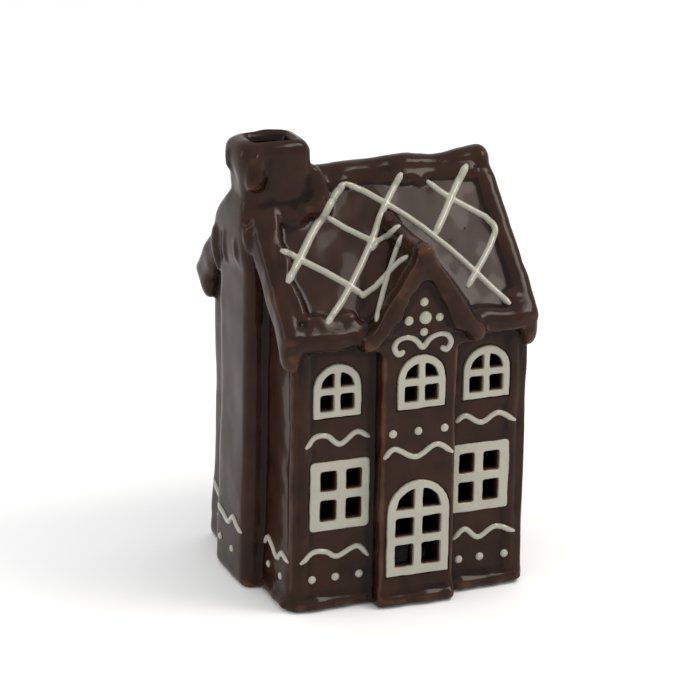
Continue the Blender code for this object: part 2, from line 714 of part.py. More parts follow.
def hollow():
    """What is empty: the room inside, the bay's hollow, the flue, and the hole in the floor."""
    near = -FRONT - WALL_THICKNESS
    skin = ROOF_THICKNESS + 1 * MM
    outline = (
        (-near, FLOOR_TOP),
        (near, FLOOR_TOP),
        (near, roof_height(near, skin)),
        (0, roof_height(0, skin)),
        (-near, roof_height(near, skin)),
    )
    room = prism("room", outline, "X", WALL_LEFT + WALL_THICKNESS, WALL_RIGHT - WALL_THICKNESS)
    bay_half = BAY_WIDTH / 2 - WALL_THICKNESS
    skin = 5 * MM / cos(DORMER_PITCH)
    corner = DORMER_APEX - skin - bay_half * tan(DORMER_PITCH)
    outline = (
        (BAY_CENTRE - bay_half, FLOOR_TOP + 0.4 * MM),
        (BAY_CENTRE + bay_half, FLOOR_TOP + 0.4 * MM),
        (BAY_CENTRE + bay_half, corner),
        (BAY_CENTRE, DORMER_APEX - skin),
        (BAY_CENTRE - bay_half, corner),
    )
    bay_room = prism("bay_room", outline, "Y", BAY_FACE + WALL_THICKNESS, FRONT + 14 * MM)
    x, y = FLUE_CENTRE
    wide, deep = FLUE_SIZE
    rings = []
    for height, grow in ((120, 0), (168, 0), (172, 0.6), (176, 2.2)):
        a, b = wide / 2 + grow * MM, deep / 2 + grow * MM
        rings.append(rounded_rectangle(x - a, x + a, y - b, y + b, height * MM, 2.4 * MM))
    flue = loft("flue", rings)
    turns = [2 * pi * i / 28 for i in range(28)]
    circle = [(FLOOR_HOLE / 2 * cos(a), FLOOR_HOLE / 2 * sin(a)) for a in turns]
    past = 3 * MM
    ends = (BASE - past, FLOOR_TOP + past)
    hole = loft("floor_hole", [[(a, b, z) for a, b in circle] for z in ends])
    return [room, bay_room, flue, hole]


def stand_on_origin(obj):
    """Moves the mesh so that the origin is under the middle of its box, on the base."""
    points = [vertex.co for vertex in obj.data.vertices]
    low = [min(p[k] for p in points) for k in range(3)]
    high = [max(p[k] for p in points) for k in range(3)]
    shift = Vector(((low[0] + high[0]) / 2, (low[1] + high[1]) / 2, low[2]))
    for point in points:
        point -= shift


def main():
    for old in list(bpy.data.objects):
        bpy.data.objects.remove(old)
    brown = glaze("brown_glaze", (0.035, 0.018, 0.013), 0.12)
    white = glaze("white_glaze", (0.62, 0.58, 0.51), 0.2)
    house, body = walls()
    body += roof_panels() + roof_rims() + corner_drips() + bay() + dormer()
    body += valleys() + chimney()
    paint([house] + body, brown)
    combine(house, body, "UNION")
    frames, grooves, panes = windows()
    paint(grooves, brown)
    combine(house, grooves, "DIFFERENCE")
    relief = frames + icing_lines() + scrolls() + beads() + lattice()
    paint(relief, white)
    combine(house, relief, "UNION")
    cutters = paint(panes + hollow(), brown)
    combine(house, cutters, "DIFFERENCE")
    stand_on_origin(house)
    house.data.shade_smooth()
    house.data.set_sharp_from_angle(angle=radians(40))


main()
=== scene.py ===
"""A glazed ceramic gingerbread house for a tealight: dark brown glaze with white piped lines."""

from math import atan, cos, hypot, pi, radians, sin, tan

import bpy
import numpy as np
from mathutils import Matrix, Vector
from mathutils.bvhtree import BVHTree


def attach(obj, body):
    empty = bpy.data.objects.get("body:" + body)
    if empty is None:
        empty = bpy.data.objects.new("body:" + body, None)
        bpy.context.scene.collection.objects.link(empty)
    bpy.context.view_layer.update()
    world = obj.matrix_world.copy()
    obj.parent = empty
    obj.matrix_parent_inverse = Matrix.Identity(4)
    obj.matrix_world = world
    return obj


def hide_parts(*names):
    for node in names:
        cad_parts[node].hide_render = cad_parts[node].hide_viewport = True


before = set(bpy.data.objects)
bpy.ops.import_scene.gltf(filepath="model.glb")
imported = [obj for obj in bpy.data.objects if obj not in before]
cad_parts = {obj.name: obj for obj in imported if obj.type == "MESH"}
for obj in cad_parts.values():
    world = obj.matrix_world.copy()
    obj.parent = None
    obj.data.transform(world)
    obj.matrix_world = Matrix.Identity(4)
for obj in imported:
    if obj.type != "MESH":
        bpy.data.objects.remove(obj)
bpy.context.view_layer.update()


# Camera, light and floor
# The house stands on a pale studio floor in a white surround. Two softboxes overlap over its front
# right, and a third stands at its left rear. The camera looks down on its left front.
MM = 0.001
HOUSE = Vector((3.356, 2.486, 3.2))  # middle of the walls' footprint, in millimetres


def place(x, y, z):
    """A point in the frame from millimetres in the house: x from its middle, y back, z up."""
    return (Vector((x, y, z)) + HOUSE) * MM


bpy.ops.object.select_all(action="DESELECT")
bpy.ops.object.camera_add(
    location=place(-477.1, -1138.9, 505.9),
    rotation=(radians(71.23), radians(-0.884), radians(-21.942)),
)
camera = bpy.context.object
camera.name = "camera"
camera.data.lens = 177.05
camera.data.sensor_width = 36
camera.data.clip_end = 50
bpy.context.scene.camera = camera
bpy.context.scene.view_settings.view_transform = "Standard"


def softbox(name, location, target, size, energy, color=(1, 1, 1)):
    """A flat rectangular light that faces a point of the house."""
    location, target = place(*location), place(*target)
    turn = (location - target).to_track_quat("Z", "Y").to_euler()
    bpy.ops.object.light_add(type="AREA", location=location, rotation=turn)
    lamp = bpy.context.object
    lamp.name = name
    lamp.data.shape = "RECTANGLE"
    lamp.data.size, lamp.data.size_y = size[0] * MM, size[1] * MM
    lamp.data.energy = energy
    lamp.data.color = color


softbox("softbox_right", (480, -340, 820), (480, -340, 0), (400, 460), 2.7, (1, 0.94, 0.87))
softbox("softbox_right_edge", (500, -350, 821), (500, -350, 0), (300, 380), 2, (1, 0.94, 0.87))
softbox("softbox_left", (-900, 250, 420), (0, 0, 90), (300, 700), 1.5)

world = bpy.data.worlds.new("studio")
bpy.context.scene.world = world
world.use_nodes = True
world.node_tree.nodes["Background"].inputs["Color"].default_value = (1, 1, 1, 1)
world.node_tree.nodes["Background"].inputs["Strength"].default_value = 1

FLOOR_SIZE, FLOOR_DROP = 9, 0.0002  # metres; the drop keeps it clear of the house's foot
bpy.ops.mesh.primitive_plane_add(size=FLOOR_SIZE, location=(0, 0, -FLOOR_DROP))
floor = bpy.context.object
floor.name = "studio_floor"
floor_paint = bpy.data.materials.new("floor_paint")
floor_paint.use_nodes = True
paint = floor_paint.node_tree.nodes["Principled BSDF"]
paint.inputs["Base Color"].default_value = (0.94, 0.94, 0.94, 1)
paint.inputs["Roughness"].default_value = 0.9
floor.data.materials.append(floor_paint)


# Walls
# The clay body was cast in a mould: four walls with soft corners that spread a little towards
# the base. Each form is made here, and all of them are run together under one skin of glaze.
FRONT, BACK = -43.5, 44.5
LEFT, RIGHT = -46.8, 45.8
plain_forms, thick_forms = [], []


def only(obj):
    """Selects this object and nothing else, and makes it the active one."""
    bpy.ops.object.select_all(action="DESELECT")
    obj.select_set(True)
    bpy.context.view_layer.objects.active = obj
    return obj


def finish_with(obj, kind, **settings):
    """Adds a modifier and applies it."""
    only(obj)
    modifier = obj.modifiers.new(kind.lower(), kind)
    for key, value in settings.items():
        setattr(modifier, key, value)
    bpy.ops.object.modifier_apply(modifier=modifier.name)
    return obj


def block(name, low, high, soft=0.0):
    """A box between two corners, with its edges rounded by that many millimetres."""
    low, high = place(*low), place(*high)
    bpy.ops.mesh.primitive_cube_add(size=1, location=(low + high) / 2)
    obj = bpy.context.object
    obj.name = name
    obj.scale = high - low
    bpy.ops.object.transform_apply(location=True, rotation=True, scale=True)
    if soft:
        finish_with(obj, "BEVEL", width=soft * MM, segments=3, limit_method="NONE")
    return obj


def pinch_top(obj, x=1.0, y=1.0):
    """Draws a box's top face together, into the ridge of a gable."""
    only(obj)
    top = max(vertex.co.z for vertex in obj.data.vertices)
    bpy.ops.object.mode_set(mode="EDIT")
    bpy.ops.mesh.select_all(action="DESELECT")
    bpy.ops.object.mode_set(mode="OBJECT")
    for vertex in obj.data.vertices:
        vertex.select = vertex.co.z > top - 0.1 * MM
    bpy.ops.object.mode_set(mode="EDIT")
    bpy.ops.transform.resize(value=(x, y, 1))
    bpy.ops.object.mode_set(mode="OBJECT")
    return obj


def levelled(name, levels, soft):
    """An upright body with its own left, right, front and back at each height, edges rounded."""
    first, last = levels[0], levels[-1]
    obj = block(name, (-1, -1, first[0]), (1, 1, last[0]))
    bpy.ops.object.mode_set(mode="EDIT")
    for level in levels[1:-1]:
        bpy.ops.mesh.select_all(action="SELECT")
        bpy.ops.mesh.bisect(plane_co=place(0, 0, level[0]), plane_no=(0, 0, 1))
    bpy.ops.object.mode_set(mode="OBJECT")
    for vertex in obj.data.vertices:
        x, y, z = vertex.co / MM - HOUSE
        _, left, right, front, back = min(levels, key=lambda level: abs(level[0] - z))
        vertex.co = place(left if x < 0 else right, front if y < 0 else back, z)
    bpy.ops.object.mode_set(mode="EDIT")
    bpy.ops.mesh.select_mode(type="EDGE")
    bpy.ops.mesh.select_all(action="DESELECT")
    bpy.ops.object.mode_set(mode="OBJECT")
    for edge in obj.data.edges:
        a, b = (obj.data.vertices[i].co for i in edge.vertices)
        edge.select = abs(a.z - b.z) > 0.3 * MM
    bpy.ops.object.mode_set(mode="EDIT")
    bpy.ops.mesh.bevel(offset=soft * MM, segments=4)
    bpy.ops.mesh.select_mode(type="VERT")
    bpy.ops.object.mode_set(mode="OBJECT")
    return obj


def lump(centre, radii):
    """A rounded drop of glaze."""
    bpy.ops.mesh.primitive_uv_sphere_add(segments=20, ring_count=12, location=place(*centre))
    obj = bpy.context.object
    obj.scale = Vector(radii) * MM
    bpy.ops.object.transform_apply(location=True, rotation=True, scale=True)
    return obj


def cord(name, points, radii, resolution=6, sides=3):
    """A round strand through the points, as thick at each as the radii say."""
    bpy.ops.curve.primitive_bezier_curve_add(location=(0, 0, 0))
    obj = bpy.context.object
    obj.name = name
    curve = obj.data
    knots = curve.splines[0].bezier_points
    knots.add(len(points) - 2)
    for knot, point, radius in zip(knots, points, radii):
        knot.co = place(*point)
        knot.radius = radius
        knot.handle_left_type = knot.handle_right_type = "AUTO"
    curve.dimensions = "3D"
    curve.bevel_depth = MM
    curve.bevel_resolution = sides
    curve.resolution_u = resolution
    curve.use_fill_caps = True
    bpy.ops.object.convert(target="MESH")
    return bpy.context.object


wall_levels = (
    (-3.2, LEFT - 2, RIGHT + 2, FRONT - 0.8, BACK),
    (-1.6, LEFT - 3, RIGHT + 3, FRONT - 1.7, BACK + 0.2),
    (1.4, LEFT - 2.9, RIGHT + 2.9, FRONT - 1.5, BACK + 0.2),
    (5, LEFT - 2.6, RIGHT + 2.5, FRONT - 0.4, BACK),
    (9, LEFT - 2.8, RIGHT + 2.6, FRONT, BACK),
    (24, LEFT - 1.6, RIGHT + 1.6, FRONT, BACK),
    (60, LEFT - 0.9, RIGHT + 0.9, FRONT, BACK + 0.8),
    (104, LEFT - 0.8, RIGHT + 0.8, FRONT, BACK + 1.6),
)
plain_forms.append(levelled("walls", wall_levels, 3.6))
gables = block("gables", (LEFT - 0.7, -42.5, 96), (RIGHT + 0.7, 42.5, 155))
plain_forms.append(pinch_top(gables, y=0.06))
for x in (LEFT - 0.6, RIGHT + 0.6):
    seam = [(x, FRONT + 1.2, z) for z in (0, 14, 30, 50, 70, 88, 102)]
    plain_forms.append(cord("corner_seam", seam, (1.9, 1.8, 1.6, 1.8, 1.5, 1.7, 1.6)))
for x, way in ((-43.6, 1), (42.4, -1)):
    bead = [(x + way * dx, FRONT - 0.3, z) for dx, z in
            ((0.4, 3), (-0.3, 16), (0.5, 30), (0, 46), (0.6, 62), (-0.2, 78), (0.3, 92), (0, 102))]
    plain_forms.append(cord("corner_bead", bead, (1.3, 1.1, 1.2, 1, 1.2, 1.1, 1.2, 1.1)))

# Thick glaze has gathered along the foot of the walls
for name, ends in (
    ("foot_left", ((-46.5, -44.6), (-16.5, -44.6))),
    ("foot_right", ((17.5, -44.6), (47.5, -44.6))),
    ("foot_bay", ((-14.8, -51.5), (15.4, -51.5))),
    ("foot_side", ((-49.2, -41), (-49.2, -17))),
):
    a, b = Vector(ends[0]), Vector(ends[1])
    spots = [a.lerp(b, i / 7) for i in range(8)]
    radii = [2.2 + 0.3 * sin(2.3 * i + a.x) for i in range(8)]
    thick_forms.append(cord(name, [(p.x, p.y, -0.4) for p in spots], radii))


# Roof
# Two flat panels lie a little below a thick flattened rim, which runs along the eaves, the ridge
# and the gable edges, and hangs down as drips at the corners.
PITCH = atan(1.056)
APEX = 158.8  # height at which the two panels meet


def roof_z(y, lift=0.0):
    """Height of the roof panels at a depth y, or of a plane that far above them."""
    return APEX - abs(y) * tan(PITCH) + lift / cos(PITCH)


def slab_on_roof(name, side, across, reach, above, below, soft=0.0):
    """A flat bar on one slope, from the ridge out to a depth, between two heights over the panel."""
    (x0, x1), thick = across, above + below
    middle_y = side * reach / 2
    centre = place((x0 + x1) / 2, middle_y, roof_z(middle_y, (above - below) / 2))
    bpy.ops.mesh.primitive_cube_add(size=1, location=centre, rotation=(-side * PITCH, 0, 0))
    obj = bpy.context.object
    obj.name = name
    obj.scale = Vector((x1 - x0, reach / cos(PITCH), thick)) * MM
    bpy.ops.object.transform_apply(location=True, rotation=True, scale=True)
    if soft:
        finish_with(obj, "BEVEL", width=soft * MM, segments=3, limit_method="NONE")
    return obj


for side in (-1, 1):
    plain_forms.append(slab_on_roof(f"panel_{side}", side, (-48.7, 46.3), 45.5, 0, 6.5))
    thick_forms.append(slab_on_roof(f"verge_left_{side}", side, (-54.2, -46.2), 47.5, 2.3, 9.6, 2.6))
    thick_forms.append(slab_on_roof(f"verge_right_{side}", side, (42.4, 50), 47.5, 2.1, 10.4, 2.6))
    y = side * 45.8
    stations = (-50, -42, -33, -24, -14, -4, 8, 18, 27, 36, 44, 48)
    swell = (4.6, 5.1, 5.5, 4.9, 5.3, 5.0, 5.4, 5.0, 5.4, 5.0, 5.3, 4.8)
    sag = (0.2, 0.2, -0.6, 0, -0.4, 0, 0.2, -0.3, 0.1, -0.5, 0.2, 0)
    eave = [(x, y, 106.4 + drop) for x, drop in zip(stations, sag)]
    thick_forms.append(cord(f"eave_{side}", eave, swell))

# The right gable edge leans in towards its top: so far, from this height on, over this rise
LEAN_IN, LEAN_FROM, LEAN_RISE = 1.9, 105, 55
for bar in thick_forms:
    if bar.name.startswith("verge_right"):
        for vertex in bar.data.vertices:
            vertex.co.x -= LEAN_IN * MM * (vertex.co.z / MM - LEAN_FROM) / LEAN_RISE

ridge_line = ((-50, 155.2), (-38, 155.6), (-22, 155.2), (-12, 155.3), (-2, 155.2), (7, 155.9))
ridge_line += ((13, 156), (19, 155.5), (25, 154.9), (30, 155.2), (36, 156.4), (42, 157.4))
ridge = [(x, 0, z) for x, z in ridge_line]
thick_forms.append(cord("ridge", ridge, (4.6, 5, 5.1, 5.3, 5.2, 5.3, 5.4, 5.2, 5, 5.2, 5.3, 5.1)))
ridge_fold = ((-36, -3.6), (-20, -4), (-5, -3.3), (12, -4.2), (24, -3.6), (40, -4.4))
ridge_fold = [(x, y, 152.8) for x, y in ridge_fold]
thick_forms.append(cord("ridge_fold", ridge_fold, (3.2, 3.8, 3, 3.7, 3.1, 4)))

# A wavy lip runs down inside the left gable edge and along the eave
verge_lip = ((-46.6, -9), (-45.6, -15), (-46.4, -21), (-45.4, -27))
verge_lip += ((-46.5, -32), (-45.2, -38), (-44.8, -43.6))
verge_lip = [(x, y, roof_z(y, 0.8)) for x, y in verge_lip]
thick_forms.append(cord("verge_lip", verge_lip, (1.5, 2.3, 1.7, 2.5, 1.8, 2.6, 2.2)))
eave_lip = ((-44, -44.2), (-38.5, -43.6), (-33.5, -44.6), (-28.5, -43.7), (-23.5, -43.8))
eave_lip = [(x, y, roof_z(y, 0.1)) for x, y in eave_lip]
thick_forms.append(cord("eave_lip", eave_lip, (1.8, 2.4, 1.6, 2.3, 2.2)))

# Thick drops hang at the corners and stand on the ridge's right end
thick_forms += [
    lump((43.8, -0.5, 156.3), (4.6, 6.6, 6.2)),
    lump((41.4, -41.6, 112.5), (4.6, 4.4, 3.6)),
    lump((17.3, -6.2, 152), (3, 2.6, 3)),
    lump((46.6, -44.2, 101.8), (4.1, 5.9, 8)),
    lump((-50, -44.2, 102.4), (4.2, 6, 8)),
    lump((-49.4, -46, 98.8), (2.4, 3, 4.6)),
    lump((-50, 43.2, 104.8), (4, 6, 8.4)),
    lump((46.6, 44.2, 102), (4.1, 6, 7.8)),
]


# Bay and small gable
# The bay that carries the door stands out from the front wall and ends in a steep gable, whose
# little roof runs back into the main one. Thick glaze fills the corners between the two.
BAY_FRONT = -50.65
MID = 0.3  # the bay's middle, from side to side
SLOPE = 1.56  # how far the small roof falls for each millimetre out from its middle
CREST = 140

bay_levels = (
    (-3.2, MID - 15.6, MID + 15.6, BAY_FRONT - 0.7, FRONT + 4),
    (-1.6, MID - 16.2, MID + 16.2, BAY_FRONT - 1.3, FRONT + 4),
    (1.6, MID - 16, MID + 16, BAY_FRONT - 1, FRONT + 4),
    (6, MID - 15.4, MID + 15.4, BAY_FRONT, FRONT + 4),
    (108, MID - 15.3, MID + 15.3, BAY_FRONT, FRONT + 4),
)
plain_forms.append(levelled("bay", bay_levels, 0.9))
half = (CREST - 3 - 100) / SLOPE
bay_gable = block("bay_gable", (MID - half, BAY_FRONT, 100), (MID + half, FRONT + 4, CREST - 3))
plain_forms.append(pinch_top(bay_gable, x=0.02))
foot = CREST - 21.5 * SLOPE
small_roof = block("small_roof", (MID - 21.5, BAY_FRONT - 1.5, foot), (MID + 21.5, -14, CREST))
plain_forms.append(pinch_top(small_roof, x=0.02))


def corners(name, points):
    """A box whose eight corners are moved to these points: four below, then four above."""
    bpy.ops.mesh.primitive_cube_add(size=2, location=(0, 0, 0))
    obj = bpy.context.object
    obj.name = name
    order = ((-1, -1, -1), (1, -1, -1), (1, 1, -1), (-1, 1, -1))
    order += ((-1, -1, 1), (1, -1, 1), (1, 1, 1), (-1, 1, 1))
    for vertex in obj.data.vertices:
        key = tuple(round(value) for value in vertex.co)
        vertex.co = place(*points[order.index(key)])
    bpy.ops.object.mode_set(mode="EDIT")
    bpy.ops.mesh.select_all(action="SELECT")
    bpy.ops.mesh.normals_make_consistent(inside=False)
    bpy.ops.object.mode_set(mode="OBJECT")
    return obj


for side in (-1, 1):
    rows = []
    for y, out, up in ((-44.5, 23.4, 13.4), (-26.5, 12.5, 1.2), (-17.5, 7.5, 0.8)):
        outer, inner = MID + side * out, MID + side * up
        rows.append(((outer, y, roof_z(y) - 0.3), (inner, y, CREST - up * SLOPE - 0.3)))
    for near, far in zip(rows, rows[1:]):
        (a, b), (c, d) = near, far
        below = [(x, y, z - 6) for x, y, z in (a, b, d, c)]
        plain_forms.append(corners(f"valley_{side}", below + [a, b, d, c]))

# The two boards of the small gable are flat bars that meet at its peak
lean = atan(SLOPE)
for side in (-1, 1):
    inner, outer = -1.2, 22.3
    middle = (inner + outer) / 2
    centre = place(MID + side * (middle - 1.1), BAY_FRONT - 1, CREST - middle * SLOPE - 1.2)
    bpy.ops.mesh.primitive_cube_add(size=1, location=centre, rotation=(0, side * lean, 0))
    board = bpy.context.object
    board.name = f"board_{side}"
    board.scale = Vector(((outer - inner) / cos(lean), 8.8, 6)) * MM
    bpy.ops.object.transform_apply(location=True, rotation=True, scale=True)
    thick_forms.append(finish_with(board, "BEVEL", width=2.2 * MM, segments=3, limit_method="NONE"))
    thick_forms.append(lump((MID + side * 21.4, BAY_FRONT - 0.8, 104.9), (4, 4.6, 4.2)))
lips = (
    ((0.8, 131.4), (0, 129.5), (-1.8, 127.7), (-4.4, 126), (-6.6, 123.2),
     (-7.9, 120.7), (-8.9, 117.4), (-10.8, 114.1), (-13, 111.3), (-15.6, 107.6)),
    ((1.6, 131.2), (2.6, 129.4), (4.7, 126.2), (7.7, 121.2),
     (10.5, 115.8), (13.4, 109.8), (15.4, 106.6)),
)
for lip in lips:
    points = [(x, -53.8, z) for x, z in lip]
    radii = (1.2, 2.1) * (len(lip) // 2) + (1.6,) * (len(lip) % 2)
    thick_forms.append(cord("board_lip", points, radii))
crest = ((-50, 137.4), (-44, 137.6), (-36, 138), (-28, 138.6), (-20, 139.6), (-15.4, 141.6))
crest = [(MID - 0.02 * (y + 50), y, z) for y, z in crest]
plain_forms.append(cord("small_ridge", crest, (3.6, 3.8, 3.6, 3.8, 3.8, 3.2)))


# Chimney
# A square breast stands on the left wall. Its shoulder steps in below the open stack, and the
# glaze has gathered round the lip and run down the sides in thick tongues.
breast_levels = (
    (-3.2, -56.2, -42, -15.2, 17.6),
    (-2, -57.2, -42, -16, 18.4),
    (20, -56.9, -42, -15.7, 17.9),
    (60, -56, -42, -15, 16.8),
    (123, -56, -42, -14.8, 18),
    (128, -57, -42, -14.8, 22),
    (134, -57.3, -42, -14.2, 22.4),
    (139, -57.3, -42, -13.6, 20.4),
    (143.5, -57.1, -42, -13, 16.8),
    (148, -56.7, -42, -12.5, 11.8),
    (153, -55.6, -42, -12.2, 7),
)
plain_forms.append(levelled("breast", breast_levels, 3.8))
stack_levels = (
    (136, -55.6, -30, -11.8, 7.6),
    (150, -55.6, -29.8, -11.8, 7.6),
    (152, -55.7, -29.5, -12.6, 7.8),
    (160, -56.5, -29.2, -12.8, 8),
    (166, -58, -28.8, -13.2, 9),
    (170, -57.8, -28.9, -13.2, 9),
    (172.4, -56.4, -30.2, -12, 8),
    (173.6, -53.8, -32.6, -9.6, 5.6),
)
thick_forms.append(levelled("stack", stack_levels, 4.2))
thick_forms.append(block("collar", (-53, -14, 139.6), (-31.6, 0, 149), 2.6))
for name, points, radii in (
    ("tongue_corner", ((-52.6, -11.2, 168.4), (-52.4, -13, 161), (-52.8, -13.1, 156.6)), (4, 3.9, 3.1)),
    ("tongue_left", ((-56.2, 1, 168), (-56.4, 1.4, 163), (-55.4, 1.4, 160)), (3.2, 2.6, 1.4)),
    ("tongue_right", ((-29, -9, 162), (-26.8, -9.8, 156), (-25.8, -11, 149)), (3, 4.4, 4.6)),
    ("fold_left", ((-47.6, -11, 148), (-47, -13.6, 143), (-46.4, -17, 138.6)), (2.2, 1.8, 1.2)),
    ("drip_breast", ((-55, -4, 136), (-56.4, -5.4, 130), (-55.7, -6.2, 125)), (3.2, 2, 0.8)),
    ("drip_mid", ((-55, 6, 136), (-56.2, 7, 128), (-55.7, 7.6, 122)), (3.4, 2.2, 1)),
    ("drip_rear", ((-54.6, 16, 134), (-55.6, 17.4, 124), (-54.8, 17.4, 116)), (4, 3, 1.4)),
    ("drip_front", ((-54, -11.6, 142), (-54.6, -13.2, 137), (-54, -13.6, 132)), (3.6, 2.6, 1.2)),
):
    thick_forms.append(cord(name, points, radii))
thick_forms += [
    lump((-26.6, -12.4, 147.6), (5.2, 5, 5.6)),
    lump((-37.6, -13.6, 143), (6.4, 3.8, 3.8)),
    lump((-31, -13.4, 147), (5, 3.6, 3.4)),
]


# Brown body
# The forms fuse into one ceramic piece under a thick uneven glaze. It is hollow: a room, a flue
# up to the open stack, window panes pierced through the front, and a round hole in the floor.
def joined(name, parts):
    """Joins the parts into one object."""
    only(parts[0])
    for part in parts:
        part.select_set(True)
    bpy.ops.object.join()
    obj = bpy.context.object
    obj.name = obj.data.name = name
    return obj


def uneven(obj, size, strength):
    """Moves the skin in and out in soft swells about that wide and that high, in millimetres."""
    swirl = bpy.data.textures.new(obj.name, "CLOUDS")
    swirl.noise_scale = size * MM
    settings = {"texture": swirl, "texture_coords": "LOCAL", "strength": strength * MM}
    finish_with(obj, "DISPLACE", **settings)


rims = joined("rims", thick_forms)
finish_with(rims, "REMESH", mode="VOXEL", voxel_size=1 * MM, use_smooth_shade=True)
finish_with(rims, "SMOOTH", factor=0.5, iterations=5)
uneven(rims, 15, 1.9)
plain = joined("plain", plain_forms)
finish_with(plain, "REMESH", mode="VOXEL", voxel_size=1 * MM, use_smooth_shade=True)
uneven(plain, 24, 1)
MOST_FACES = 150000
body = joined("house_body", [plain, rims])
finish_with(body, "REMESH", mode="VOXEL", voxel_size=0.85 * MM, use_smooth_shade=True)
finish_with(body, "SMOOTH", factor=0.5, iterations=5)
for vertex in body.data.vertices:
    vertex.co.z = max(vertex.co.z, 0)
faces = sum(len(polygon.vertices) - 2 for polygon in body.data.polygons)
finish_with(body, "DECIMATE", ratio=min(1.0, MOST_FACES / faces), use_collapse_triangulate=True)


def mark_edges(obj, rounds):
    """Stores how far each point stands out from its smoothed surroundings, in millimetres."""
    mesh = obj.data
    points = np.empty(len(mesh.vertices) * 3)
    mesh.vertices.foreach_get("co", points)
    points = points.reshape(-1, 3) / MM
    normals = np.empty(len(mesh.vertices) * 3)
    mesh.vertices.foreach_get("normal", normals)
    normals = normals.reshape(-1, 3)
    edges = np.empty(len(mesh.edges) * 2, int)
    mesh.edges.foreach_get("vertices", edges)
    a, b = edges.reshape(-1, 2).T
    count = np.bincount(np.concatenate((a, b)), minlength=len(points)).clip(1)[:, None]
    soft = points.copy()
    for _ in range(rounds):
        total = np.zeros_like(soft)
        for axis in range(3):
            total[:, axis] = np.bincount(a, soft[b, axis], len(points))
            total[:, axis] += np.bincount(b, soft[a, axis], len(points))
        soft = 0.4 * soft + 0.6 * total / count
    stand = ((points - soft) * normals).sum(axis=1).clip(-1, 0.6)
    # On the brown body this layer later also carries the painted shade marks set inside the house
    layer = mesh.attributes.new("stands_out_and_shade", "FLOAT", "POINT")
    layer.data.foreach_set("value", stand.astype(np.float32))


mark_edges(body, 14)
cutters = []


def punch(name, outline, front, back):
    """A plate or a cutter with this outline of (x, z) points, from front to back."""
    bpy.ops.mesh.primitive_circle_add(vertices=len(outline), fill_type="NGON", radius=1)
    obj = bpy.context.object
    obj.name = name
    for vertex, (x, z) in zip(obj.data.vertices, outline):
        vertex.co = place(x, front, z)
    bpy.ops.object.mode_set(mode="EDIT")
    bpy.ops.mesh.select_all(action="SELECT")
    move = (0, (back - front) * MM, 0)
    bpy.ops.mesh.extrude_region_move(TRANSFORM_OT_translate={"value": move})
    bpy.ops.mesh.select_all(action="SELECT")
    bpy.ops.mesh.normals_make_consistent(inside=False)
    bpy.ops.object.mode_set(mode="OBJECT")
    return obj


def soft_rectangle(x0, x1, z0, z1, soft=0.8, steps=3):
    """Outline of an upright rectangle with rounded corners."""
    points = []
    left, right, low, high = x0 + soft, x1 - soft, z0 + soft, z1 - soft
    for quarter, (x, z) in enumerate(((right, high), (left, high), (left, low), (right, low))):
        for i in range(steps + 1):
            turn = (quarter + i / steps) * pi / 2
            points.append((x + soft * cos(turn), z + soft * sin(turn)))
    return points


def arch(middle, base, width, height, steps=14):
    """Outline of an opening with a half-round top."""
    radius = width / 2
    spring = base + height - radius
    turns = [pi * i / steps for i in range(steps + 1)]
    top = [(middle + radius * cos(a), spring + radius * sin(a)) for a in turns]
    return [(middle - radius, base), (middle + radius, base)] + top


def quarter_pane(middle, side, inner, outer, base, wide, high, steps=6):
    """Outline of an upper pane, whose top follows the window's arch."""
    points = [(middle + side * inner, base)]
    for i in range(steps + 1):
        x = outer + (inner - outer) * i / steps
        z = base + high * max(0.0, 1 - (x / wide) ** 2) ** 0.5
        points.append((middle + side * x, z))
    return points if side > 0 else points[::-1]


def pane_set(middle, base, columns, rows, curve, grow=0.0):
    """Outlines of a window's panes, made larger all round by grow."""
    shapes = []
    for left, right in columns:
        for low, high in rows:
            across = (middle + left - grow, middle + right + grow)
            shapes.append(soft_rectangle(*across, base + low - grow, base + high + grow))
    if curve:
        foot, wide, high = curve
        for left, right in columns:
            inner, outer = min(abs(left), abs(right)) - grow, max(abs(left), abs(right)) + grow
            side = 1 if right > 0 else -1
            shape = (inner, outer, base + foot - grow, wide + grow, high + 2 * grow)
            shapes.append(quarter_pane(middle, side, *shape))
    return shapes


# Each set of panes has its columns, its rows, and the foot, half width and height of the top two
ARCH_PANES = (((-6.7, -1.55), (1.55, 6.7)), ((2.8, 8.8),), (12.1, 6.7, 5.4))
DOOR_PANES = (((-9.2, -1.9), (1.9, 9.2)), ((3.7, 12.3), (16.0, 23.2)), (27, 9.2, 7.9))
LEFT_PANES = (((-7.7, -1.5), (2.8, 8.7)), ((4.0, 12.0), (16.1, 23.7)), None)
RIGHT_PANES = (((-8.7, -2.8), (1.5, 7.7)), ((4.0, 12.0), (16.1, 23.7)), None)
SMALL_ARCH, DOOR_ARCH = (19.2, 21), (25.4, 38.2)
SQUARE_HALF, SQUARE_HEIGHT, SQUARE_SOFT = 12.1, 27.8, 1.6

# A narrow groove runs round each arched frame, and the panes go right through the wall
GROOVE, GROOVE_DEPTH = 0.65, 0.55
THROUGH = 18
windows = []

